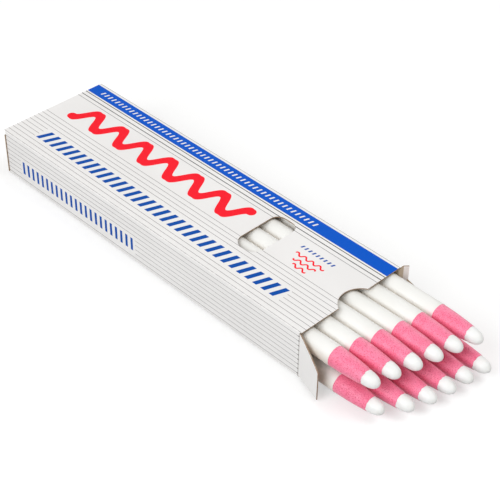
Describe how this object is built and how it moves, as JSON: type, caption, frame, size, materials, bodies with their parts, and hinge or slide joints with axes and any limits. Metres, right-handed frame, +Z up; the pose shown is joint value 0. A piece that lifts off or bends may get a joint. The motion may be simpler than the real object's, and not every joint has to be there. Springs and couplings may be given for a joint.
{
  "type": "boxed china marker set",
  "caption": "Open board carton of paper-wrapped china markers with tapered pink collars and rounded wax tips; the markers slide out and the end flaps fold.",
  "frame": {"origin": "on the resting plane, under the middle of the whole pack as it stands with the markers drawn partly out", "axes": "+X along the carton towards its open front and the marker tips, +Y across the carton towards the side with the blue band, +Z up"},
  "size_m": [0.235, 0.0638, 0.0234],
  "materials": {
    "wax": "smooth white wax",
    "pink_paper": "matt rolled paper, cut to a cone",
    "white_paper": "smooth white wrap",
    "white_board": "white coated folding board",
    "kraft_paper": "single-faced corrugated brown paper"
  },
  "bodies": {
    "carton": {"top_panel": "white_board", "bottom_panel": "white_board", "left_side_panel": "white_board", "right_side_panel": "white_board", "glue_flap": "white_board", "divider_liner": "kraft_paper", "divider_fluting": "kraft_paper"},
    "top_1_marker": {"top_1_wax_core": "wax", "top_1_paper_barrel": "pink_paper", "top_1_white_wrap": "white_paper"},
    "top_2_marker": {"top_2_wax_core": "wax", "top_2_paper_barrel": "pink_paper", "top_2_white_wrap": "white_paper"},
    "top_3_marker": {"top_3_wax_core": "wax", "top_3_paper_barrel": "pink_paper", "top_3_white_wrap": "white_paper"},
    "top_4_marker": {"top_4_wax_core": "wax", "top_4_paper_barrel": "pink_paper", "top_4_white_wrap": "white_paper"},
    "top_5_marker": {"top_5_wax_core": "wax", "top_5_paper_barrel": "pink_paper", "top_5_white_wrap": "white_paper"},
    "top_6_marker": {"top_6_wax_core": "wax", "top_6_paper_barrel": "pink_paper", "top_6_white_wrap": "white_paper"},
    "bottom_1_marker": {"bottom_1_wax_core": "wax", "bottom_1_paper_barrel": "pink_paper", "bottom_1_white_wrap": "white_paper"},
    "bottom_2_marker": {"bottom_2_wax_core": "wax", "bottom_2_paper_barrel": "pink_paper", "bottom_2_white_wrap": "white_paper"},
    "bottom_3_marker": {"bottom_3_wax_core": "wax", "bottom_3_paper_barrel": "pink_paper", "bottom_3_white_wrap": "white_paper"},
    "bottom_4_marker": {"bottom_4_wax_core": "wax", "bottom_4_paper_barrel": "pink_paper", "bottom_4_white_wrap": "white_paper"},
    "bottom_5_marker": {"bottom_5_wax_core": "wax", "bottom_5_paper_barrel": "pink_paper", "bottom_5_white_wrap": "white_paper"},
    "bottom_6_marker": {"bottom_6_wax_core": "wax", "bottom_6_paper_barrel": "pink_paper", "bottom_6_white_wrap": "white_paper"},
    "front_left_dust_flap": {"front_left_dust_flap": "white_board"},
    "front_right_dust_flap": {"front_right_dust_flap": "white_board"},
    "front_closing_panel": {"front_closing_panel": "white_board"},
    "front_tuck_tab": {"front_tuck_tab": "white_board"},
    "back_closing_panel": {"back_closing_panel": "white_board"},
    "back_tuck_tab": {"back_tuck_tab": "white_board"},
    "back_left_dust_flap": {"back_left_dust_flap": "white_board"},
    "back_right_dust_flap": {"back_right_dust_flap": "white_board"}
  },
  "joints": [
    {"name": "top_1_slide", "type": "slide", "parent": "carton", "child": "top_1_marker", "axis": [1, 0, 0], "range_m": [-0.03884, 0.1455]},
    {"name": "top_2_slide", "type": "slide", "parent": "carton", "child": "top_2_marker", "axis": [1, 0, 0], "range_m": [-0.04084, 0.1435]},
    {"name": "top_3_slide", "type": "slide", "parent": "carton", "child": "top_3_marker", "axis": [1, 0, 0], "range_m": [-0.04334, 0.141]},
    {"name": "top_4_slide", "type": "slide", "parent": "carton", "child": "top_4_marker", "axis": [1, 0, 0], "range_m": [-0.04559, 0.13875]},
    {"name": "top_5_slide", "type": "slide", "parent": "carton", "child": "top_5_marker", "axis": [1, 0, 0], "range_m": [-0.04754, 0.1368]},
    {"name": "top_6_slide", "type": "slide", "parent": "carton", "child": "top_6_marker", "axis": [1, 0, 0], "range_m": [-0.04984, 0.1345]},
    {"name": "bottom_1_slide", "type": "slide", "parent": "carton", "child": "bottom_1_marker", "axis": [1, 0, 0], "range_m": [-0.04204, 0.1423]},
    {"name": "bottom_2_slide", "type": "slide", "parent": "carton", "child": "bottom_2_marker", "axis": [1, 0, 0], "range_m": [-0.04864, 0.1357]},
    {"name": "bottom_3_slide", "type": "slide", "parent": "carton", "child": "bottom_3_marker", "axis": [1, 0, 0], "range_m": [-0.05169, 0.13265]},
    {"name": "bottom_4_slide", "type": "slide", "parent": "carton", "child": "bottom_4_marker", "axis": [1, 0, 0], "range_m": [-0.05324, 0.1311]},
    {"name": "bottom_5_slide", "type": "slide", "parent": "carton", "child": "bottom_5_marker", "axis": [1, 0, 0], "range_m": [-0.05424, 0.1301]},
    {"name": "bottom_6_slide", "type": "slide", "parent": "carton", "child": "bottom_6_marker", "axis": [1, 0, 0], "range_m": [-0.05524, 0.1291]},
    {"name": "front_left_flap_crease", "type": "hinge", "parent": "carton", "child": "front_left_dust_flap", "pos_m": [0.06598, -0.02751, 0.012], "axis": [0, 0, -1], "range_deg": [-18, 132]},
    {"name": "front_right_flap_crease", "type": "hinge", "parent": "carton", "child": "front_right_dust_flap", "pos_m": [0.06598, 0.02846, 0.012], "axis": [0, 0, 1], "range_deg": [-12, 98]},
    {"name": "front_closing_crease", "type": "hinge", "parent": "carton", "child": "front_closing_panel", "pos_m": [0.06656, 0.00047, 0.00054], "axis": [0, -1, 0], "range_deg": [0, 180]},
    {"name": "front_tab_crease", "type": "hinge", "parent": "front_closing_panel", "child": "front_tuck_tab", "pos_m": [0.04453, 0.00047, 0], "axis": [0, 1, 0], "range_deg": [-90, 0]},
    {"name": "back_closing_crease", "type": "hinge", "parent": "carton", "child": "back_closing_panel", "pos_m": [-0.11746, 0.00047, 0.00058], "axis": [0, -1, 0], "range_deg": [0, 90]},
    {"name": "back_tab_crease", "type": "hinge", "parent": "back_closing_panel", "child": "back_tuck_tab", "pos_m": [-0.11696, 0.00047, 0.02207], "axis": [0, 1, 0], "range_deg": [0, 64]},
    {"name": "back_left_flap_crease", "type": "hinge", "parent": "carton", "child": "back_left_dust_flap", "pos_m": [-0.11638, -0.02701, 0.012], "axis": [0, 0, -1], "range_deg": [0, 75]},
    {"name": "back_right_flap_crease", "type": "hinge", "parent": "carton", "child": "back_right_dust_flap", "pos_m": [-0.11638, 0.02796, 0.012], "axis": [0, 0, 1], "range_deg": [0, 75]}
  ],
  "couplings": [
    {"joint": "back_tab_crease", "follows": "back_closing_crease", "ratio": 0.7}
  ]
}
